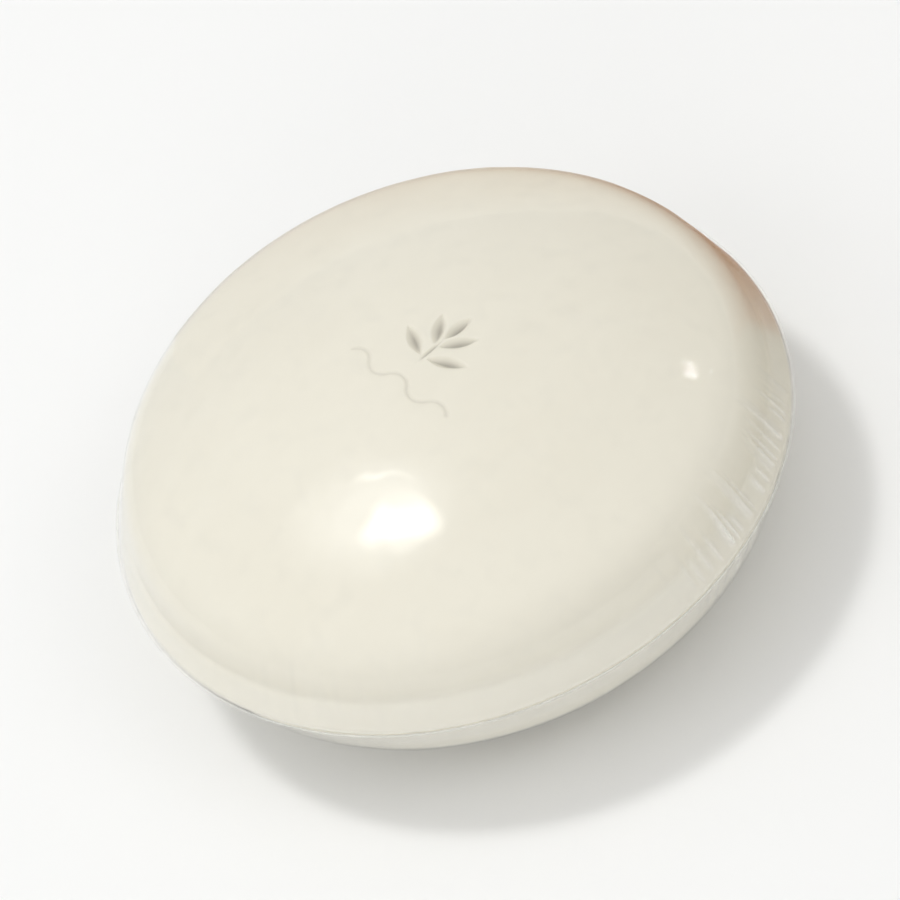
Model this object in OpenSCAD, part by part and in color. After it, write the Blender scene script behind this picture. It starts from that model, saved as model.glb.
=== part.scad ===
// Round shaving soap puck in a tight clear shrink wrap.
// The soap lies flat, its axis is Z, and the wrap's underside rests on Z = 0.

/* [Soap] */
// Diameter of the soap across the ridge at its waist
soap_d = 74.4; // [62:0.2:90]
// Height of the dome above the waist band, the same above and below
dome_h = 13.6; // [11:0.1:17]
// Height of the sloping band from the ridge to the foot of the dome
band_h = 2.8; // [2:0.1:4]
// How far the foot of the dome is set in from the ridge
band_inset = 1.8; // [1.4:0.1:2.4]
// Radius of the dome's shoulder
shoulder_r = 7.2; // [6:0.1:9]
// Height of the blunt edge along the ridge
ridge_land = 0.5; // [0.3:0.1:0.8]
// Diameter of the flat that the soap rests on
foot_d = 30; // [22:0.5:36]

/* [Wrap] */
// Thickness of the film, drawn thicker than the real one
film_t = 0.1; // [0.06:0.01:0.2]
// Room between the soap and the film
film_gap = 0.1; // [0.06:0.01:0.2]
// Height of the bead where the two webs are welded
seal_h = 0.3; // [0.2:0.02:0.5]
// How far the bead stands out from the film
seal_proud = 0.3; // [0.15:0.05:0.6]
// Room between the bead and the upper film that parts from it
lift_gap = 0.06; // [0.04:0.01:0.15]

/* [Emblem] */
// Sideways place of the foot of the sprig on the upper dome
emblem_x = 2.2; // [-4:0.1:4]
// Place of the foot of the sprig along its own upright
emblem_y = -0.6; // [-4:0.1:4]
// Length of the leaf at the tip of the sprig
leaf_l = 4.2; // [3:0.1:5]
// How much longer each pair of leaves below it is
leaf_step = 0.5; // [0:0.1:0.8]
// Width of a leaf
leaf_w = 1.6; // [0.8:0.1:2]
// Depth of a leaf at its middle
leaf_depth = 0.7; // [0.3:0.05:0.9]
// Width of the stem and of the ripple line
line_w = 0.5; // [0.3:0.05:0.8]
// Length of one arc of the ripple line, from crossing to crossing
ripple_step = 3.1; // [2:0.1:4]
// Depth of the ripple line
ripple_depth = 0.14; // [0.08:0.02:0.3]

/* [Hidden] */
$fn = 160;

ridge_r = soap_d / 2;
dome_r = ridge_r - band_inset;
half_h = band_h + dome_h;
// crown radius that meets the shoulder arc without a corner
crown_r = (dome_r * dome_r + dome_h * dome_h - 2 * dome_r * shoulder_r) / (2 * (dome_h - shoulder_r));
crown_z = half_h - crown_r;
foot_cut = crown_r - sqrt(crown_r * crown_r - foot_d * foot_d / 4);
foot_z = half_h - foot_cut;

film_in = film_gap;
film_out = film_gap + film_t;
waist_z = foot_z + film_out;

// five leaves: foot of each one up the stem, its lean from the upright, and its pair's number from the tip
leaves = [[1.0, -66, 2], [1.0, 66, 2], [2.7, -38, 1], [2.7, 38, 1], [3.7, 0, 0]];
stem_l = 4.2;
stem_depth = 0.3;
leaf_gap = 0.3;
ripple_arcs = 5;
ripple_bend = 50;
ripple_drop = 2.6;

// Upper dome's profile, grown outwards by g, waist at y = 0
module dome_profile(g) {
    reach = norm([dome_r - shoulder_r, crown_z - band_h]);
    meet_x = (dome_r - shoulder_r) * (1 + (shoulder_r + g) / reach);
    square([dome_r - shoulder_r, band_h + shoulder_r]);
    translate([dome_r - shoulder_r, band_h]) circle(r = shoulder_r + g);
    intersection() {
        translate([0, crown_z]) circle(r = crown_r + g);
        square([meet_x, half_h + g]);
    }
}

// Upper half of the soap, which steps in from the band to the foot of the dome
module soap_half() {
    polygon([[0, 0], [ridge_r, 0], [ridge_r, ridge_land / 2], [dome_r, band_h], [0, band_h]]);
    dome_profile(0);
}

// Upper half of the space inside a web: tight film runs straight from the ridge to the shoulder
module web_half(g) {
    ridge = [ridge_r + g, ridge_land / 2];
    shoulder = [dome_r - shoulder_r, band_h];
    away = ridge - shoulder;
    lean = atan2(away.y, away.x) + acos((shoulder_r + g) / norm(away));
    touch = shoulder + (shoulder_r + g) * [cos(lean), sin(lean)];
    polygon([[0, 0], [ridge.x, 0], ridge, touch, [0, touch.y]]);
    dome_profile(g);
}

// An upper half and its mirror image, cut flat at the foot, grown by g
module whole_profile(g) {
    children();
    intersection() {
        mirror([0, 1]) children();
        translate([0, -foot_z - g]) square([ridge_r + g, foot_z + g]);
    }
}

// One web of film between two heights measured from the waist
module web(low, high) {
    rotate_extrude() intersection() {
        difference() {
            whole_profile(film_out) web_half(film_out);
            whole_profile(film_in) web_half(film_in);
        }
        translate([0, low]) square([ridge_r + film_out + 1, high - low]);
    }
}

// Puts its children on the upper dome, x to the right and y up the emblem
module on_crown(x, y) {
    translate([0, 0, crown_z])
        rotate([-y / crown_r * 180 / PI, x / crown_r * 180 / PI, 0])
        translate([0, 0, crown_r])
        children();
}

// Leaf-shaped cut along y, left by a wheel with a V edge
module wheel_cut(length, width, depth) {
    wheel_r = length * length / (8 * depth);
    side = 0.6 * width;
    translate([0, 0, wheel_r - depth]) rotate([0, 90, 0])
        for (turn = [0, 180]) rotate([turn, 0, 0])
            cylinder(h = side, r1 = wheel_r, r2 = wheel_r - side * 2 * depth / width);
}

// V groove along an arc, its middle at the origin and its crown towards +y
module arc_cut(step, bend, width, depth) {
    arc_r = step / (2 * sin(bend));
    rise = 0.5 * depth;
    half_w = width / 2 * (1 + rise / depth);
    translate([0, -arc_r * cos(bend), 0]) rotate([0, 0, 90 - bend])
        rotate_extrude(angle = 2 * bend)
        polygon([[arc_r, -depth], [arc_r + half_w, rise], [arc_r - half_w, rise]]);
}

module sprig() {
    on_crown(emblem_x, emblem_y + stem_l / 2) wheel_cut(stem_l, line_w, stem_depth);
    for (leaf = leaves) {
        length = leaf_l + leaf[2] * leaf_step;
        far = leaf_gap + length / 2;
        on_crown(emblem_x + far * sin(leaf[1]), emblem_y + leaf[0] + far * cos(leaf[1]))
            rotate([0, 0, -leaf[1]]) wheel_cut(length, leaf_w, leaf_depth);
    }
}

module ripple() {
    for (i = [0 : ripple_arcs - 1])
        on_crown(emblem_x + (i - (ripple_arcs - 1) / 2) * ripple_step, emblem_y - ripple_drop)
            mirror([0, i % 2, 0]) arc_cut(ripple_step, ripple_bend, line_w, ripple_depth);
}

module soap_cake() {
    color("ivory") translate([0, 0, waist_z]) difference() {
        rotate_extrude() whole_profile(0) soap_half();
        sprig();
        ripple();
    }
}

module upper_film() {
    color("aliceblue", 0.3) translate([0, 0, waist_z])
        web(seal_h / 2 + lift_gap, half_h + film_out + 1);
}

module lower_film() {
    color("aliceblue", 0.3) translate([0, 0, waist_z])
        web(-waist_z - 1, -seal_h / 2);
}

module trim_seal() {
    color("gainsboro") translate([0, 0, waist_z - seal_h / 2]) rotate_extrude()
        translate([ridge_r + film_in, 0]) {
            square([film_t + seal_proud - seal_h / 2, seal_h]);
            translate([film_t + seal_proud - seal_h / 2, seal_h / 2]) circle(d = seal_h, $fn = 48);
        }
}

soap_cake();
upper_film();
lower_film();
trim_seal();
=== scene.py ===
import math
import bpy
import numpy as np
from mathutils import Matrix, Vector


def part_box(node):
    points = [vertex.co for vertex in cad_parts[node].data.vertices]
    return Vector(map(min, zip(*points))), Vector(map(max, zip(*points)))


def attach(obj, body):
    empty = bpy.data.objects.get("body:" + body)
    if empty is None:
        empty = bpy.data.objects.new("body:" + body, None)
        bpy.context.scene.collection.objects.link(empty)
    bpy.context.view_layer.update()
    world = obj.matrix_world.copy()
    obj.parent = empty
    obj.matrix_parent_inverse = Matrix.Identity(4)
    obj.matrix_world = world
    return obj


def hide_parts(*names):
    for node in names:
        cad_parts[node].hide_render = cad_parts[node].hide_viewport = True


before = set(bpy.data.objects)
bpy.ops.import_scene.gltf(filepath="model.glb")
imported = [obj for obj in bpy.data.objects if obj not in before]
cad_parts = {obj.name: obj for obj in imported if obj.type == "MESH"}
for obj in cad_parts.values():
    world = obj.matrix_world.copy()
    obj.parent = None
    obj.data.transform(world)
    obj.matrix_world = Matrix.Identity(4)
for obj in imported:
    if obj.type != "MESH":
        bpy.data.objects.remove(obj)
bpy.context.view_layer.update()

mm = 0.001
soapLow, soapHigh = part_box("soap_cake")
sealLow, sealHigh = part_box("trim_seal")
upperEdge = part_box("upper_film")[0].z  # where the upper web ends, above the bead
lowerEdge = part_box("lower_film")[1].z  # where the lower web ends, under the bead
ridgeRadius = soapHigh.x
waistZ = (sealLow.z + sealHigh.z) / 2
middle = Vector((0, 0, waistZ))
print("frame loaded, waist at %.2f mm" % (waistZ / mm))


# camera, lights and floor: angles in degrees, lamp sizes in metres, power in watts
studio = {
    "azimuth": 66.7, "elevation": 46.4,
    "roll": 24.0,  # leans the puck's axis to the left
    "lens": 180.0, "pictureWidth": 96.0 * mm, "near": 0.01, "far": 20.0,
    "floorColour": (0.88, 0.88, 0.87), "floorRoughness": 0.9,
    "floorSize": 8.0, "floorGap": 0.03 * mm,
    "backdrop": (0.9, 0.9, 0.89),
    "worldLeft": (0.735, 0.745, 0.755), "worldRight": (0.62, 0.615, 0.605),
    "blendStart": 0.15, "blendEnd": 0.85,
    "lampCore": 0.12, "lampEdge": 0.5, "lampPeak": 2.0,  # how a lamp fades from its middle
    "lamps": {
        "overhead": {
            "azimuth": 294, "elevation": 74.0, "tilt": 16, "size": (0.20, 0.31), "power": 0.50,
        },
        "halo": {
            "azimuth": 292.4, "elevation": 68.5, "tilt": 16, "size": (0.46, 0.62), "power": 0.62,
        },
        "overheadSoft": {
            "azimuth": 294, "elevation": 70, "tilt": 0, "size": (0.25, 0.25), "power": 3.5,
            "hidden": True,
        },
        "strip": {
            "azimuth": 277, "elevation": 66, "tilt": 28, "size": (0.014, 0.32), "power": 0.03,
        },
        "side": {
            "azimuth": 347, "elevation": 40, "tilt": 0, "size": (0.8, 0.6), "power": 0.9,
            "hidden": True,
        },
        "fill": {
            "azimuth": 115, "elevation": 48, "tilt": 0, "size": (0.8, 0.6), "power": 1.3,
            "hidden": True,
        },
        "front": {
            "azimuth": 50, "elevation": 20, "tilt": 0, "size": (0.9, 0.5), "power": 1.6,
            "hidden": True,
        },
        "spark": {
            "azimuth": 187.2, "elevation": 43.8, "tilt": 0, "size": (0.010, 0.010), "power": 0.02,
        },
        "sparkTwo": {
            "azimuth": 183.5, "elevation": 40, "tilt": 0, "size": (0.008, 0.008), "power": 0.002,
        },
    },
}

# the reflector card: rims from the floor up, tones by angle round the puck
card = {
    "colour": (0.80, 0.79, 0.76), "roughness": 0.9, "columns": 120,
    "rims": (
        {"radius": 48 * mm, "height": 0.5 * mm, "fade": 0},
        {"radius": 70 * mm, "height": 14 * mm, "fade": 0},
        {"radius": 95 * mm, "height": 30 * mm, "fade": 0.35},
        {"radius": 120 * mm, "height": 52 * mm, "fade": 1},
    ),
    "tones": (
        {"angle": 15, "colour": (0.78, 0.77, 0.73)},
        {"angle": 38, "colour": (0.50, 0.47, 0.39)},
        {"angle": 76, "colour": (0.46, 0.42, 0.34)},
        {"angle": 80, "colour": (0.38, 0.19, 0.09)},
        {"angle": 112, "colour": (0.42, 0.24, 0.14)},
        {"angle": 135, "colour": (0.58, 0.46, 0.34)},
        {"angle": 185, "colour": (0.78, 0.76, 0.72)},
    ),
}


def direction(azimuth, elevation):
    a = math.radians(azimuth)
    e = math.radians(elevation)
    return Vector((math.sin(a) * math.cos(e), -math.cos(a) * math.cos(e), math.sin(e)))


def addObject(name, data):
    obj = bpy.data.objects.new(name, data)
    bpy.context.scene.collection.objects.link(obj)
    return obj


def makeLamp(name, place, s):
    # a rectangular lamp a metre off, brightest in its middle, turned by its tilt about its own beam
    lamp = addObject(name, bpy.data.lights.new(name, "AREA"))
    lamp.data.shape = "RECTANGLE"
    lamp.data.size, lamp.data.size_y = place["size"]
    lamp.data.energy = place["power"]
    away = direction(place["azimuth"], place["elevation"])
    lamp.location = middle + away
    tilt = Matrix.Rotation(math.radians(place["tilt"]), 3, "Z").to_quaternion()
    lamp.rotation_mode = "QUATERNION"
    lamp.rotation_quaternion = (-away).to_track_quat("-Z", "Y") @ tilt
    lamp.visible_glossy = not place.get("hidden", False)
    lamp.data.use_nodes = True
    nodes = lamp.data.node_tree.nodes
    links = lamp.data.node_tree.links
    spot = nodes.new("ShaderNodeNewGeometry").outputs["Parametric"]
    fromMiddle = nodes.new("ShaderNodeVectorMath")
    fromMiddle.operation = "DISTANCE"
    fromMiddle.inputs[1].default_value = (0.5, 0.5, 0)
    fade = nodes.new("ShaderNodeMapRange")
    fade.interpolation_type = "SMOOTHSTEP"
    fade.inputs["From Min"].default_value = s["lampCore"]
    fade.inputs["From Max"].default_value = s["lampEdge"]
    fade.inputs["To Min"].default_value = s["lampPeak"]
    fade.inputs["To Max"].default_value = 0
    links.new(spot, fromMiddle.inputs[0])
    links.new(fromMiddle.outputs["Value"], fade.inputs["Value"])
    links.new(fade.outputs["Result"], nodes["Emission"].inputs["Strength"])


def makeCamera(s):
    camera = addObject("camera", bpy.data.cameras.new("camera"))
    camera.data.lens = s["lens"]
    camera.data.clip_start = s["near"]
    camera.data.clip_end = s["far"]
    away = direction(s["azimuth"], s["elevation"])
    level = (-away).to_track_quat("-Z", "Y")
    turn = level @ Matrix.Rotation(math.radians(-s["roll"]), 3, "Z").to_quaternion()
    camera.rotation_mode = "QUATERNION"
    camera.rotation_quaternion = turn
    camera.location = middle + away * s["pictureWidth"] * s["lens"] / camera.data.sensor_width
    bpy.context.scene.camera = camera


def plainMaterial(name, colour, roughness):
    material = bpy.data.materials.new(name)
    material.use_nodes = True
    shader = material.node_tree.nodes["Principled BSDF"]
    shader.inputs["Base Color"].default_value = (*colour, 1)
    shader.inputs["Roughness"].default_value = roughness
    return material


def makeFloor(s):
    mesh = bpy.data.meshes.new("floor")
    h = s["floorSize"] / 2
    z = -s["floorGap"]
    mesh.from_pydata([(-h, -h, z), (h, -h, z), (h, h, z), (-h, h, z)], [], [(0, 1, 2, 3)])
    mesh.materials.append(plainMaterial("paleFloor", s["floorColour"], s["floorRoughness"]))
    addObject("floor", mesh)


def makeCard(c):
    # stands round the far side of the puck, warm in the middle and fading upwards;
    # only the puck's reflections see it
    stops = [tone["angle"] for tone in c["tones"]]
    colours = np.array([tone["colour"] for tone in c["tones"]])
    angles = np.linspace(stops[0], stops[-1], c["columns"])
    along = np.column_stack([np.interp(angles, stops, colours[:, i]) for i in range(3)])
    verts = []
    paint = []
    for rim in c["rims"]:
        for a, colour in zip(np.radians(angles), along):
            verts.append((rim["radius"] * math.cos(a), rim["radius"] * math.sin(a), rim["height"]))
            paint.append((*(colour * (1 - rim["fade"]) + np.array(c["colour"]) * rim["fade"]), 1))
    n = c["columns"]
    faces = []
    for row in range(len(c["rims"]) - 1):
        faces += [(i, i + 1, i + n + 1, i + n) for i in range(row * n, row * n + n - 1)]
    mesh = bpy.data.meshes.new("flag")
    mesh.from_pydata(verts, [], faces)
    layer = mesh.color_attributes.new("card", "FLOAT_COLOR", "POINT")
    layer.data.foreach_set("color", np.array(paint).ravel())
    material = plainMaterial("cardPaint", c["colour"], c["roughness"])
    reader = material.node_tree.nodes.new("ShaderNodeAttribute")
    reader.attribute_name = "card"
    shader = material.node_tree.nodes["Principled BSDF"]
    material.node_tree.links.new(reader.outputs["Color"], shader.inputs["Base Color"])
    mesh.materials.append(material)
    flag = addObject("flag", mesh)
    flag.visible_camera = False
    flag.visible_diffuse = False
    flag.visible_shadow = False


def makeWorld(s):
    # soft light that is cooler on the camera's left; the camera itself sees an even backdrop
    world = bpy.data.worlds.new("studio")
    bpy.context.scene.world = world
    world.use_nodes = True
    nodes = world.node_tree.nodes
    links = world.node_tree.links
    place = nodes.new("ShaderNodeTexCoord")
    turn = nodes.new("ShaderNodeVectorRotate")
    turn.rotation_type = "Z_AXIS"
    turn.inputs["Angle"].default_value = -math.radians(s["azimuth"])
    apart = nodes.new("ShaderNodeSeparateXYZ")
    shift = nodes.new("ShaderNodeMapRange")
    shift.inputs["From Min"].default_value = -1
    ramp = nodes.new("ShaderNodeValToRGB")
    ramp.color_ramp.elements[0].position = s["blendStart"]
    ramp.color_ramp.elements[0].color = (*s["worldLeft"], 1)
    ramp.color_ramp.elements[1].position = s["blendEnd"]
    ramp.color_ramp.elements[1].color = (*s["worldRight"], 1)
    links.new(place.outputs["Generated"], turn.inputs["Vector"])
    links.new(turn.outputs["Vector"], apart.inputs["Vector"])
    links.new(apart.outputs["X"], shift.inputs["Value"])
    links.new(shift.outputs["Result"], ramp.inputs["Fac"])
    links.new(ramp.outputs["Color"], nodes["Background"].inputs["Color"])
    backdrop = nodes.new("ShaderNodeBackground")
    backdrop.inputs["Color"].default_value = (*s["backdrop"], 1)
    choose = nodes.new("ShaderNodeMixShader")
    links.new(nodes.new("ShaderNodeLightPath").outputs["Is Camera Ray"], choose.inputs["Fac"])
    links.new(nodes["Background"].outputs[0], choose.inputs[1])
    links.new(backdrop.outputs[0], choose.inputs[2])
    links.new(choose.outputs[0], nodes["World Output"].inputs["Surface"])


makeCamera(studio)
makeFloor(studio)
makeWorld(studio)
makeCard(card)
for lampName, lampPlace in studio["lamps"].items():
    makeLamp(lampName, lampPlace, studio)
bpy.context.scene.view_settings.view_transform = "Standard"
print("camera and lights set")


# the outline that the soap and both webs follow, as (radius, height above the waist)
puck = {
    "bandHeight": 2.8 * mm, "bandInset": 1.8 * mm, "shoulder": 7.2 * mm, "land": 0.5 * mm,
    "crownPoints": 200, "shoulderPoints": 80,
    "spacing": 0.05 * mm,  # between the points of an evened outline
}
domeRadius = ridgeRadius - puck["bandInset"]
domeHeight = soapHigh.z - waistZ - puck["bandHeight"]
shoulderRadius = domeRadius - puck["shoulder"]
crownRadius = domeRadius ** 2 + domeHeight ** 2 - 2 * domeRadius * puck["shoulder"]
crownRadius /= 2 * (domeHeight - puck["shoulder"])
crownCentre = puck["bandHeight"] + domeHeight - crownRadius
footHeight = soapLow.z - waistZ


def domeArc(out, end):
    # crown then shoulder, from the axis to where the shoulder has turned through end
    meet = math.atan2(shoulderRadius, puck["bandHeight"] - crownCentre)
    crown = np.linspace(0, meet, puck["crownPoints"])[:, None]
    points = (crownRadius + out) * np.hstack([np.sin(crown), np.cos(crown)]) + (0, crownCentre)
    turn = np.linspace(meet, end, puck["shoulderPoints"])[1:, None]
    shoulder = (puck["shoulder"] + out) * np.hstack([np.sin(turn), np.cos(turn)])
    return np.vstack([points, shoulder + (shoulderRadius, puck["bandHeight"])])


def soapHalf():
    ridge = [(ridgeRadius, puck["land"] / 2), (ridgeRadius, 0)]
    return np.vstack([domeArc(0, math.pi / 2), ridge])


def webHalf(out):
    # tight film runs straight from the ridge to where it touches the shoulder
    ridge = np.array([ridgeRadius + out, puck["land"] / 2])
    away = ridge - (shoulderRadius, puck["bandHeight"])
    touch = math.atan2(away[1], away[0]) + math.acos((puck["shoulder"] + out) / math.hypot(*away))
    return np.vstack([domeArc(out, math.pi / 2 - touch), [ridge, (ridge[0], 0)]])


def lowerSide(half, out):
    # mirror image of a half, cut flat at the foot
    low = half[::-1] * (1, -1)
    foot = footHeight - out
    footRadius = np.interp(foot, low[::-1, 1], low[::-1, 0])
    return np.vstack([low[low[:, 1] > foot], [(footRadius, foot), (0, foot)]])


def runAlong(path):
    return np.concatenate([[0], np.cumsum(np.hypot(*np.diff(path, axis=0).T))])


def evenly(path, spacing):
    run = runAlong(path)
    at = np.linspace(0, run[-1], int(round(run[-1] / spacing)) + 1)
    return np.column_stack([np.interp(at, run, path[:, 0]), np.interp(at, run, path[:, 1])])


def rounded(path, radius):
    # eases every corner of an outline that starts and ends on the axis, with a bell-shaped average
    path = evenly(path, puck["spacing"])
    reach = int(3 * radius / puck["spacing"])
    weight = np.exp(-0.5 * (np.arange(-reach, reach + 1) * puck["spacing"] / radius) ** 2)
    start = path[reach:0:-1] * (-1, 1)
    end = path[-2:-reach - 2:-1] * (-1, 1)
    whole = np.vstack([start, path, end])
    eased = np.column_stack([np.convolve(whole[:, i], weight / weight.sum(), "valid") for i in (0, 1)])
    eased[0, 0] = eased[-1, 0] = 0
    return eased


def stations(path, stepAt):
    # thins an even outline so that the gap between kept points follows stepAt(radius, height)
    keep = [0]
    gone = 0.0
    for i in range(1, len(path) - 1):
        gone += puck["spacing"]
        if gone >= stepAt(*path[i]):
            keep.append(i)
            gone = 0.0
    return path[keep + [len(path) - 1]]


def lathe(name, path, angles):
    # rings from the top down, faces outwards, one shared point wherever the outline is on the axis
    onAxis = 1e-7
    count = len(angles)
    verts = []
    rings = []
    faces = []
    for r, z in path:
        if r < onAxis:
            rings.append([len(verts)] * count)
            verts.append((0, 0, z + waistZ))
        else:
            rings.append(range(len(verts), len(verts) + count))
            verts += [(r * math.cos(a), r * math.sin(a), z + waistZ) for a in angles]
    for upper, lower in zip(rings, rings[1:]):
        for i in range(count):
            j = (i + 1) % count
            corners = [upper[i], lower[i], lower[j], upper[j]]
            faces.append(tuple(dict.fromkeys(corners)))
    mesh = bpy.data.meshes.new(name)
    mesh.from_pydata(verts, [], faces)
    mesh.shade_smooth()
    return addObject(name, mesh)


class Knots:
    # a short way to write node trees: a term is a number or another node's output
    def __init__(self, tree):
        self.tree = tree

    def add(self, kind, settings=None, **inputs):
        node = self.tree.nodes.new(kind)
        for key, value in (settings or {}).items():
            setattr(node, key, value)
        for key, value in inputs.items():
            self.put(value, node.inputs[key])
        return node

    def put(self, value, socket):
        if isinstance(value, bpy.types.NodeSocket):
            self.tree.links.new(value, socket)
        else:
            socket.default_value = value

    def calc(self, operation, *terms):
        node = self.add("ShaderNodeMath", {"operation": operation})
        for socket, term in zip(node.inputs, terms):
            self.put(term, socket)
        return node.outputs[0]

    def fit(self, value, low, high, newLow=0.0, newHigh=1.0, smooth=True):
        kind = "SMOOTHSTEP" if smooth else "LINEAR"
        node = self.add("ShaderNodeMapRange", {"interpolation_type": kind}, Value=value)
        self.put(low, node.inputs["From Min"])
        self.put(high, node.inputs["From Max"])
        self.put(newLow, node.inputs["To Min"])
        self.put(newHigh, node.inputs["To Max"])
        return node.outputs["Result"]

    def bell(self, value, width, power):
        # 1 in the middle, falling away to nothing past the width
        ratio = self.calc("POWER", self.calc("DIVIDE", value, width), power)
        return self.calc("EXPONENT", self.calc("MULTIPLY", ratio, -1))

    def noise(self, vector, scale, detail=2.0, rough=0.5, stretch=None):
        if stretch:
            vector = self.add("ShaderNodeMapping", Vector=vector, Scale=stretch).outputs["Vector"]
        node = self.add("ShaderNodeTexNoise", Vector=vector, Scale=scale, Detail=detail, Roughness=rough)
        return node.outputs["Fac"]

    def bump(self, height, strength, distance):
        node = self.add("ShaderNodeBump", Strength=strength, Distance=distance, Height=height)
        return node.outputs["Normal"]

    def attribute(self, name):
        return self.add("ShaderNodeAttribute", {"attribute_name": name}).outputs["Fac"]

    def mixColour(self, factor, first, second):
        node = self.add("ShaderNodeMix", {"data_type": "RGBA"})
        self.put(factor, node.inputs[0])
        for socket, term in ((node.inputs[6], first), (node.inputs[7], second)):
            self.put((*term, 1) if isinstance(term, tuple) else term, socket)
        return node.outputs[2]


def shaderMaterial(name):
    material = bpy.data.materials.new(name)
    material.use_nodes = True
    return material, Knots(material.node_tree), material.node_tree.nodes["Principled BSDF"]


# soap cake
cake = {
    "edgeEase": 0.2 * mm, "segments": 360,
    "emblemStep": 0.13 * mm, "waistStep": 0.15 * mm, "topStep": 0.5 * mm, "footStep": 0.6 * mm,
    "waistReach": 3.4 * mm,
    "colour": (0.82, 0.785, 0.675), "colourDeep": (0.805, 0.768, 0.656),
    # the next two give the painted shade in the emblem's cuts: a dark colour and how much of it is mixed
    # in
    "recessShadeColour": (0.36, 0.33, 0.275), "recessShadeStrength": 0.9,
    "cloudScale": 45, "streakScale": 160, "streakStretch": (1, 0.25, 1.6), "streakShare": 0.45,
    "roughLow": 0.40, "roughHigh": 0.50, "refraction": 1.46,
    "rippleScale": 420, "grainScale": 2600, "grainShare": 0.4,
    "reliefStrength": 0.35, "reliefHeight": 0.012 * mm,
}
# a sprig of leaves over a ripple line, both pressed into the upper dome
emblem = {
    "x": 2.2 * mm, "y": -0.6 * mm, "reach": 12 * mm,
    "leafLength": 4.2 * mm, "leafStep": 0.5 * mm, "leafWidth": 1.6 * mm, "leafDepth": 0.7 * mm,
    "leafGap": 0.3 * mm,
    "leaves": (
        {"foot": 1.0 * mm, "lean": -66, "pair": 2},
        {"foot": 1.0 * mm, "lean": 66, "pair": 2},
        {"foot": 2.7 * mm, "lean": -38, "pair": 1},
        {"foot": 2.7 * mm, "lean": 38, "pair": 1},
        {"foot": 3.7 * mm, "lean": 0, "pair": 0},
    ),
    "stemLength": 4.2 * mm, "stemDepth": 0.3 * mm, "lineWidth": 0.5 * mm,
    "rippleStep": 3.1 * mm, "rippleDepth": 0.14 * mm, "rippleDrop": 2.6 * mm,
    "rippleArcs": 5, "rippleBend": 50, "rippleEnd": 3,
    # the last two numbers on the next line shape the painted shade in the cuts: darker towards the bottom
    # of each leaf and the stem, fainter in the ripple
    "ease": 0.05 * mm, "shadeCurve": 1.7, "rippleShade": 0.28,
}


def onCrown(x, y):
    # axes of a tool that stands square to the dome at this place
    tilt = Matrix.Rotation(-y / crownRadius, 3, "X") @ Matrix.Rotation(x / crownRadius, 3, "Y")
    return np.array(tilt)


def softMin(a, b, ease):
    return (a + b - np.sqrt((a - b) ** 2 + ease ** 2)) / 2


def wheelCut(across, along, length, width, depth):
    # height left by a V-edged wheel, measured from the surface it was pressed into
    wheel = length ** 2 / (8 * depth)
    rim = np.maximum(wheel - np.abs(across) * 2 * depth / width, 0)
    return wheel - depth - np.sqrt(np.maximum(rim ** 2 - along ** 2, 0))


def rippleCut(x, y, e, flip):
    # height left by a V-edged arc, which rises steeply past its two ends
    bend = math.radians(e["rippleBend"])
    arc = e["rippleStep"] / (2 * math.sin(bend))
    y = y * flip + arc * math.cos(bend)
    off = np.abs(np.hypot(x, y) - arc)
    outside = np.maximum(np.abs(np.arctan2(x, y)) - bend, 0) * arc
    return (off + e["rippleEnd"] * outside) * 2 * e["rippleDepth"] / e["lineWidth"] - e["rippleDepth"]


def sprigCuts(e):
    # place, turn, length, width and depth of the stem and of each leaf
    cuts = [(0, e["stemLength"] / 2, 0, e["stemLength"], e["lineWidth"], e["stemDepth"])]
    for leaf in e["leaves"]:
        length = e["leafLength"] + leaf["pair"] * e["leafStep"]
        far = e["leafGap"] + length / 2
        a = math.radians(leaf["lean"])
        x = far * math.sin(a)
        y = leaf["foot"] + far * math.cos(a)
        cuts.append((x, y, -a, length, e["leafWidth"], e["leafDepth"]))
    return cuts


def pressEmblem(mesh, e):
    # sinks the points near the emblem, and writes a painted shade for the material, darkest at the bottom
    # of each cut
    flat = np.zeros(len(mesh.vertices) * 3)
    mesh.vertices.foreach_get("co", flat)
    points = flat.reshape(-1, 3)
    centre = np.array([0, 0, waistZ + crownCentre])
    near = np.hypot(points[:, 0] - e["x"], points[:, 1] - e["y"]) < e["reach"]
    near &= points[:, 2] > waistZ
    out = points[near] - centre
    radius = np.linalg.norm(out, axis=1)
    level = np.zeros(len(out))
    # tone is painted shade, growing with the depth of each cut
    tone = np.zeros(len(out))
    for x, y, turn, length, width, depth in sprigCuts(e):
        local = out @ onCrown(e["x"] + x, e["y"] + y)
        across = local[:, 0] * math.cos(turn) + local[:, 1] * math.sin(turn)
        along = local[:, 1] * math.cos(turn) - local[:, 0] * math.sin(turn)
        rise = local[:, 2] - crownRadius
        cut = softMin(0, wheelCut(across, along, length, width, depth) - rise, e["ease"])
        level = np.minimum(level, cut)
        tone = np.maximum(tone, np.clip(-cut / depth, 0, 1) ** e["shadeCurve"])
    for i in range(e["rippleArcs"]):
        shift = (i - (e["rippleArcs"] - 1) / 2) * e["rippleStep"]
        local = out @ onCrown(e["x"] + shift, e["y"] - e["rippleDrop"])
        cut = softMin(0, rippleCut(local[:, 0], local[:, 1], e, -1 if i % 2 else 1), e["ease"])
        level = np.minimum(level, cut)
        tone = np.maximum(tone, np.clip(-cut / e["rippleDepth"], 0, 1) * e["rippleShade"])
    points[near] = centre + out * ((radius + level) / radius)[:, None]
    mesh.vertices.foreach_set("co", points.ravel())
    recessShade = np.zeros(len(points))
    recessShade[near] = tone
    mesh.attributes.new("recessShade", "FLOAT", "POINT").data.foreach_set("value", recessShade)
    mesh.update()


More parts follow.
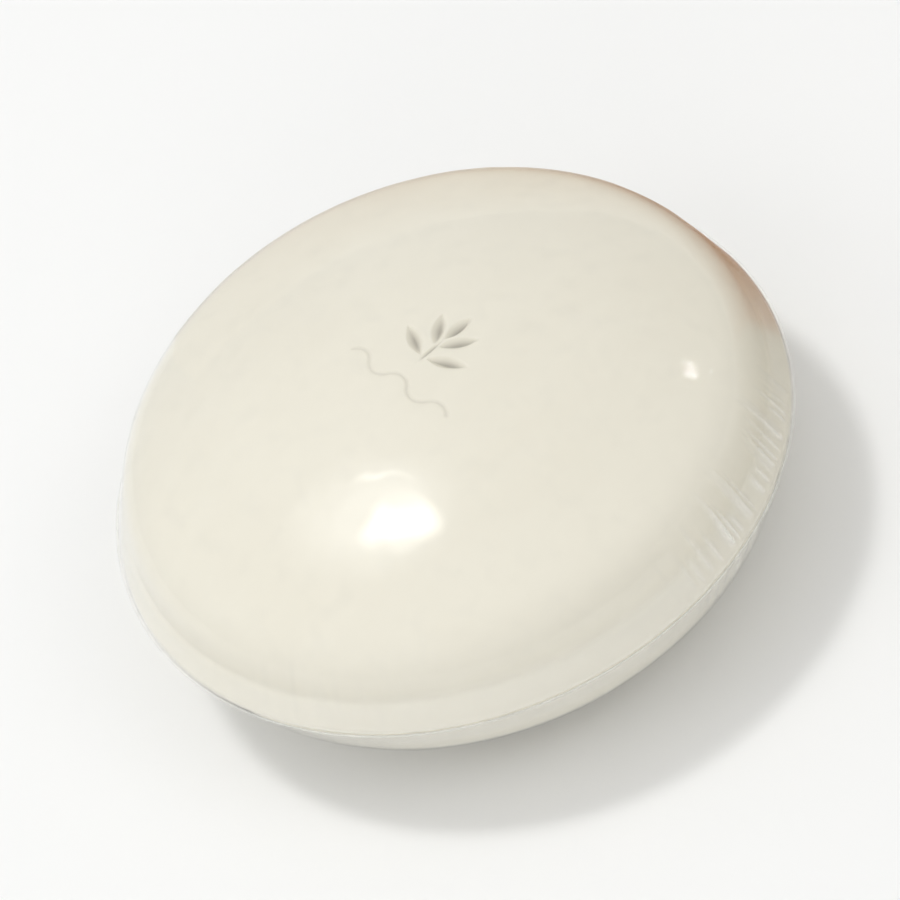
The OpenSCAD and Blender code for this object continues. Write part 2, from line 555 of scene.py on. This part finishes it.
def makeSoap(s, e):
    def step(r, z):
        if z > 0 and r < e["reach"]:
            return s["emblemStep"]
        if abs(z) < s["waistReach"]:
            return s["waistStep"]
        return s["topStep"] if z > 0 else s["footStep"]

    half = soapHalf()
    outline = rounded(np.vstack([half, lowerSide(half, 0)]), s["edgeEase"])
    angles = np.linspace(0, 2 * math.pi, s["segments"], endpoint=False)
    cast = lathe("soap", stations(outline, step), angles)
    pressEmblem(cast.data, e)
    return cast


def soapMaterial(s):
    # milled soap: faint clouding, long pale streaks from the press, very fine grain, and painted shade in
    # the emblem's cuts
    material, knots, shader = shaderMaterial("ivorySoap")
    place = knots.add("ShaderNodeTexCoord").outputs["Object"]
    cloud = knots.noise(place, s["cloudScale"], 3)
    streak = knots.noise(place, s["streakScale"], 4, 0.6, s["streakStretch"])
    clouding = knots.calc("MULTIPLY", cloud, 1 - s["streakShare"])
    tone = knots.calc("MULTIPLY_ADD", streak, s["streakShare"], clouding)
    milled = knots.mixColour(knots.fit(tone, 0.35, 0.65), s["colour"], s["colourDeep"])
    # painted shade: the emblem's cuts are darkened by how deep each point lies
    recessShade = knots.calc("MULTIPLY", knots.attribute("recessShade"), s["recessShadeStrength"])
    knots.put(knots.mixColour(recessShade, milled, s["recessShadeColour"]), shader.inputs["Base Color"])
    grain = knots.calc("MULTIPLY", knots.noise(place, s["grainScale"], 3, 0.6), s["grainShare"])
    ripple = knots.noise(place, s["rippleScale"], 2)
    rough = knots.fit(ripple, 0.3, 0.7, s["roughLow"], s["roughHigh"])
    knots.put(rough, shader.inputs["Roughness"])
    relief = knots.calc("MULTIPLY_ADD", ripple, 1 - s["grainShare"], grain)
    knots.put(knots.bump(relief, s["reliefStrength"], s["reliefHeight"]), shader.inputs["Normal"])
    shader.inputs["IOR"].default_value = s["refraction"]
    return material


soap = makeSoap(cake, emblem)
soap.data.materials.append(soapMaterial(cake))
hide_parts("soap_cake")
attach(soap, "soap")
print("soap cake pressed, %d faces" % len(soap.data.polygons))


# shrink film: an upper and a lower web, gathered at four corners
wrap = {
    "gap": 0.1 * mm, "thickness": 0.1 * mm,
    "cornerTurn": 25.0, "cornerWidth": 26,  # degrees
    "fineStep": 0.25, "middleStep": 0.8, "coarseStep": 1.25,  # degrees between columns of faces
    "bandStep": 0.3 * mm, "domeStep": 1.1 * mm, "bandReach": 8.5 * mm, "bandRadius": 20 * mm,
    "gatherHeight": 0.42 * mm, "gatherSpacing": 1.5 * mm, "gatherSpread": 19.0,
    "gatherShort": 4.0 * mm, "gatherLong": 9.5 * mm, "gatherStart": 0.5 * mm,
    "otherCorners": 0.10, "lowerShare": 0.4, "waviness": 0.07 * mm, "seed": 4.0,
    "tint": (0.97, 0.97, 0.95), "haze": 0.012, "foldHaze": 0.26, "bandHaze": 0.09,
    "hazeStart": 2.4 * mm, "hazeEnd": 5.0 * mm,  # from the waist, where the film bridges the crease
    "headOnMirror": 0.04, "roughLow": 0.04, "roughHigh": 0.09,
    "blushScale": 300, "smearScale": 500, "crinkleScale": 900,
    "crinkleStrength": 0.25, "crinkleHeight": 0.005 * mm,
}


def nodeTree(name, inputs):
    # geometry in, geometry out, and one named input for each size
    tree = bpy.data.node_groups.new(name, "GeometryNodeTree")
    tree.interface.new_socket("Geometry", in_out="INPUT", socket_type="NodeSocketGeometry")
    for label, kind in inputs.items():
        tree.interface.new_socket(label, in_out="INPUT", socket_type="NodeSocket" + kind)
    tree.interface.new_socket("Geometry", in_out="OUTPUT", socket_type="NodeSocketGeometry")
    return tree, Knots(tree), tree.nodes.new("NodeGroupInput"), tree.nodes.new("NodeGroupOutput")


def finishTree(knots, geometry, given, result):
    real = knots.add("GeometryNodeRealizeInstances", Geometry=geometry).outputs[0]
    painted = knots.add("GeometryNodeSetMaterial", Geometry=real, Material=given.outputs["Material"])
    knots.put(painted.outputs[0], result.inputs["Geometry"])


def grow(obj, tree, values, finish=None):
    # runs a node tree on an object, then any finishing modifier, and keeps the result as a plain mesh
    modifier = obj.modifiers.new(tree.name, "NODES")
    modifier.node_group = tree
    for item in tree.interface.items_tree:
        if item.name in values:
            modifier[item.identifier] = values[item.name]
    if finish:
        finish(obj)
    made = obj.evaluated_get(bpy.context.evaluated_depsgraph_get())
    mesh = bpy.data.meshes.new_from_object(made)
    obj.modifiers.clear()
    obj.data = mesh
    mesh.name = obj.name


def gatherTree():
    tree, knots, given, result = nodeTree("filmGathers", {
        "Ridge Radius": "Float", "Corner Turn": "Float", "Height": "Float", "Spacing": "Float",
        "Spread": "Float", "Start": "Float", "Short": "Float", "Long": "Float",
        "Other Corners": "Float", "Waviness": "Float", "Seed": "Float", "Material": "Material",
    })
    calc = knots.calc
    size = given.outputs
    quarter = math.pi / 2
    cornerShift = 17.3  # keeps the drift of one corner apart from the next
    cellsEach = 40  # more pleats than any corner has
    driftScale = 0.55
    driftReach = 2.2  # how far the drift moves a pleat, in spacings
    swayReach = 1.2  # how far a pleat bends sideways, in spacings
    leastWidth = 0.13  # of a pleat, as a share of the spacing
    extraWidth = 0.10
    leastStrength = 0.4
    fullShare = 0.45  # of a pleat's length, before it starts to fade
    waveScale = 110
    where = knots.add("GeometryNodeInputPosition").outputs[0]
    apart = knots.add("ShaderNodeSeparateXYZ", Vector=where)
    turned = calc("SUBTRACT", calc("ARCTAN2", apart.outputs["Y"], apart.outputs["X"]), size["Corner Turn"])
    corner = calc("ROUND", calc("DIVIDE", turned, quarter))
    off = calc("SUBTRACT", turned, calc("MULTIPLY", corner, quarter))
    # pleats stand at uneven steps round the corner and bend sideways on their way up the dome
    arc = calc("DIVIDE", calc("MULTIPLY", off, size["Ridge Radius"]), size["Spacing"])
    mark = calc("ADD", calc("MULTIPLY", calc("ABSOLUTE", corner), cornerShift), size["Seed"])
    uneven = knots.add("ShaderNodeTexNoise", {"noise_dimensions": "1D"}, Scale=driftScale, Detail=1)
    knots.put(calc("ADD", arc, mark), uneven.inputs["W"])
    drift = uneven.outputs["Fac"]
    reader = knots.add("GeometryNodeInputNamedAttribute", {"data_type": "FLOAT"}, Name="fromWaist")
    along = reader.outputs[0]
    sway = calc("MULTIPLY", calc("DIVIDE", along, size["Long"]), calc("SUBTRACT", drift, 0.5))
    cell = calc("ADD", calc("MULTIPLY_ADD", drift, driftReach, arc), calc("MULTIPLY", sway, swayReach))
    number = calc("ROUND", cell)
    within = calc("SUBTRACT", cell, number)

    def draw(start):
        # one random number for each pleat of each corner, the same on every run
        dice = knots.add("FunctionNodeRandomValue", {"data_type": "FLOAT"})
        knots.put(calc("ADD", calc("MULTIPLY_ADD", corner, cellsEach, number), start), dice.inputs["ID"])
        return dice.outputs[1]

    lengthLuck = draw(200)
    widthLuck = draw(900)
    crest = knots.bell(within, calc("MULTIPLY_ADD", widthLuck, extraWidth, leastWidth), 2)
    length = knots.fit(lengthLuck, 0, 1, size["Short"], size["Long"], smooth=False)
    rise = knots.fit(along, size["Start"], calc("MULTIPLY", size["Start"], 3))
    fall = knots.fit(along, calc("MULTIPLY", length, fullShare), length, 1, 0)
    near = knots.bell(off, size["Spread"], 4)
    first = calc("COMPARE", corner, 0, 0.5)
    others = calc("MULTIPLY", first, calc("SUBTRACT", 1, size["Other Corners"]))
    share = calc("ADD", others, size["Other Corners"])
    vigour = calc("MULTIPLY_ADD", widthLuck, 1 - leastStrength, leastStrength)
    strength = calc("MULTIPLY", calc("MULTIPLY", near, share), vigour)
    fold = calc("MULTIPLY", calc("MULTIPLY", crest, strength), calc("MULTIPLY", rise, fall))
    # low, wide waves over the dome, none near the waist
    wave = knots.fit(knots.noise(where, waveScale), 0.35, 0.75)
    calm = knots.fit(along, 1.0 * mm, 6.0 * mm)
    waves = calc("MULTIPLY", calc("MULTIPLY", wave, calm), size["Waviness"])
    lift = calc("MULTIPLY_ADD", fold, size["Height"], waves)
    offset = knots.add("ShaderNodeVectorMath", {"operation": "SCALE"}, Scale=lift)
    knots.put(knots.add("GeometryNodeInputNormal").outputs[0], offset.inputs[0])
    moved = knots.add("GeometryNodeSetPosition", Geometry=size["Geometry"], Offset=offset.outputs[0])
    kept = knots.add("GeometryNodeStoreNamedAttribute", {"data_type": "FLOAT", "domain": "POINT"},
                     Geometry=moved.outputs[0], Name="fold", Value=fold)
    finishTree(knots, kept.outputs[0], given, result)
    return tree


def filmMaterial(name, w):
    # clear glossy film: mostly see-through, a mirror at a low angle, a little milky where it is folded
    material, knots, shader = shaderMaterial(name)
    place = knots.add("ShaderNodeTexCoord").outputs["Object"]
    facing = knots.calc("POWER", knots.add("ShaderNodeLayerWeight", Blend=0.5).outputs["Facing"], 5)
    mirror = knots.calc("MULTIPLY_ADD", facing, 1 - w["headOnMirror"], w["headOnMirror"])
    blush = knots.fit(knots.noise(place, w["blushScale"], 3), 0.45, 0.8, 0, w["haze"])
    bridged = knots.fit(knots.attribute("fromWaist"), w["hazeStart"], w["hazeEnd"], w["bandHaze"], 0)
    haze = knots.calc("ADD", blush, bridged)
    milky = knots.calc("MULTIPLY_ADD", knots.attribute("fold"), w["foldHaze"], haze)
    seeThrough = knots.calc("SUBTRACT", 1, mirror)
    cover = knots.calc("ADD", mirror, knots.calc("MULTIPLY", milky, seeThrough))
    knots.put(cover, shader.inputs["Alpha"])
    knots.put(knots.calc("DIVIDE", mirror, cover), shader.inputs["Metallic"])
    shader.inputs["Base Color"].default_value = (*w["tint"], 1)
    smear = knots.fit(knots.noise(place, w["smearScale"], 3), 0.3, 0.7, w["roughLow"], w["roughHigh"])
    knots.put(smear, shader.inputs["Roughness"])
    crinkle = knots.noise(place, w["crinkleScale"], 3, 0.6)
    knots.put(knots.bump(crinkle, w["crinkleStrength"], w["crinkleHeight"]), shader.inputs["Normal"])
    return material


def filmAngles(w):
    # closest together round the first corner, where the pleats are deepest
    halfQuarter = 45.0
    angles = []
    for corner in range(4):
        inside = w["fineStep"] if corner == 0 else w["middleStep"]
        a = -halfQuarter
        while a < halfQuarter - 1e-6:
            angles.append(a + 2 * halfQuarter * corner + w["cornerTurn"])
            a += inside if abs(a) < w["cornerWidth"] else w["coarseStep"]
    return np.radians(angles)


def measureFromWaist(mesh, path):
    # writes how far round the outline each point of the web lies from the waist
    run = runAlong(path)
    flat = np.zeros(len(mesh.vertices) * 3)
    mesh.vertices.foreach_get("co", flat)
    heights = np.abs(path[:, 1])
    order = np.argsort(heights)
    fromWaist = np.abs(run - run[np.argmin(heights)])
    far = np.interp(np.abs(flat[2::3] - waistZ), heights[order], fromWaist[order])
    mesh.attributes.new("fromWaist", "FLOAT", "POINT").data.foreach_set("value", far)


def addThickness(obj):
    solid = obj.modifiers.new("thickness", "SOLIDIFY")
    solid.thickness = wrap["thickness"]
    solid.offset = -1
    solid.use_even_offset = True


def makeWeb(name, w, upper, tree, material):
    def step(r, z):
        if abs(z) < w["bandReach"] and r > w["bandRadius"]:
            return w["bandStep"]
        return w["domeStep"]

    out = w["gap"] + w["thickness"]
    half = webHalf(out)
    if upper:
        edge = upperEdge - waistZ
        path = np.vstack([half[half[:, 1] > edge], [(half[-1, 0], edge)]])
    else:
        edge = lowerEdge - waistZ
        low = lowerSide(half, out)
        path = np.vstack([[(half[-1, 0], edge)], low[low[:, 1] < edge]])
    path = stations(evenly(path, puck["spacing"]), step)
    web = lathe(name, path, filmAngles(w))
    measureFromWaist(web.data, path)
    grow(web, tree, {
        "Ridge Radius": ridgeRadius, "Corner Turn": math.radians(w["cornerTurn"]),
        "Height": w["gatherHeight"] * (1 if upper else w["lowerShare"]),
        "Spacing": w["gatherSpacing"], "Spread": math.radians(w["gatherSpread"]),
        "Start": w["gatherStart"], "Short": w["gatherShort"], "Long": w["gatherLong"],
        "Other Corners": w["otherCorners"], "Waviness": w["waviness"], "Seed": w["seed"],
        "Material": material,
    }, addThickness)
    for vertex in web.data.vertices:
        vertex.co.z = max(vertex.co.z, 0)  # the foot stays flat
    return web


gathers = gatherTree()
film = filmMaterial("clearFilm", wrap)
upperWeb = makeWeb("upperWeb", wrap, True, gathers, film)
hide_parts("upper_film")
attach(upperWeb, "upper_wrap")
lowerWeb = makeWeb("lowerWeb", wrap, False, gathers, film)
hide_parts("lower_film")
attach(lowerWeb, "lower_wrap")
print("film shrunk on, %d and %d faces" % (len(upperWeb.data.polygons), len(lowerWeb.data.polygons)))


# the melted bead where the two webs were welded and cut
bead = {
    "radius": 0.15 * mm, "uneven": 0.03 * mm, "lumpScale": 70.0, "steps": 720, "sides": 10,
    "colour": (0.88, 0.87, 0.82), "cloudScale": 350,
    "coverLow": 0.08, "coverHigh": 0.2, "roughLow": 0.30, "roughHigh": 0.45,
}


def beadTree():
    tree, knots, given, result = nodeTree("weldBead", {
        "Ring Radius": "Float", "Height": "Float", "Bead Radius": "Float", "Unevenness": "Float",
        "Lump Scale": "Float", "Steps": "Int", "Sides": "Int", "Material": "Material",
    })
    size = given.outputs
    circle = "GeometryNodeCurvePrimitiveCircle"
    ring = knots.add(circle, Resolution=size["Steps"], Radius=size["Ring Radius"])
    lifted = knots.add("ShaderNodeCombineXYZ", Z=size["Height"]).outputs[0]
    placed = knots.add("GeometryNodeSetPosition", Geometry=ring.outputs[0], Offset=lifted)
    where = knots.add("GeometryNodeInputPosition").outputs[0]
    lump = knots.calc("SUBTRACT", knots.noise(where, size["Lump Scale"]), 0.8)  # so the bead mostly thins
    thick = knots.calc("MULTIPLY_ADD", lump, size["Unevenness"], size["Bead Radius"])
    section = knots.add(circle, Resolution=size["Sides"], Radius=1.0)
    tube = knots.add("GeometryNodeCurveToMesh", Curve=placed.outputs[0], Scale=thick)
    knots.put(section.outputs[0], tube.inputs["Profile Curve"])
    smooth = knots.add("GeometryNodeSetShadeSmooth", Geometry=tube.outputs[0])
    finishTree(knots, smooth.outputs[0], given, result)
    return tree


def beadMaterial(b):
    material, knots, shader = shaderMaterial("weldedFilm")
    place = knots.add("ShaderNodeTexCoord").outputs["Object"]
    cloud = knots.noise(place, b["cloudScale"], 3)
    knots.put(knots.fit(cloud, 0.3, 0.7, b["coverLow"], b["coverHigh"]), shader.inputs["Alpha"])
    knots.put(knots.fit(cloud, 0.3, 0.7, b["roughLow"], b["roughHigh"]), shader.inputs["Roughness"])
    shader.inputs["Base Color"].default_value = (*b["colour"], 1)
    return material


seal = addObject("trimBead", bpy.data.meshes.new("trimBead"))
grow(seal, beadTree(), {
    "Ring Radius": sealHigh.x - bead["radius"], "Height": waistZ, "Bead Radius": bead["radius"],
    "Unevenness": bead["uneven"], "Lump Scale": bead["lumpScale"], "Steps": bead["steps"],
    "Sides": bead["sides"], "Material": beadMaterial(bead),
})
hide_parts("trim_seal")
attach(seal, "lower_wrap")
print("trim bead laid, %d faces" % len(seal.data.polygons))
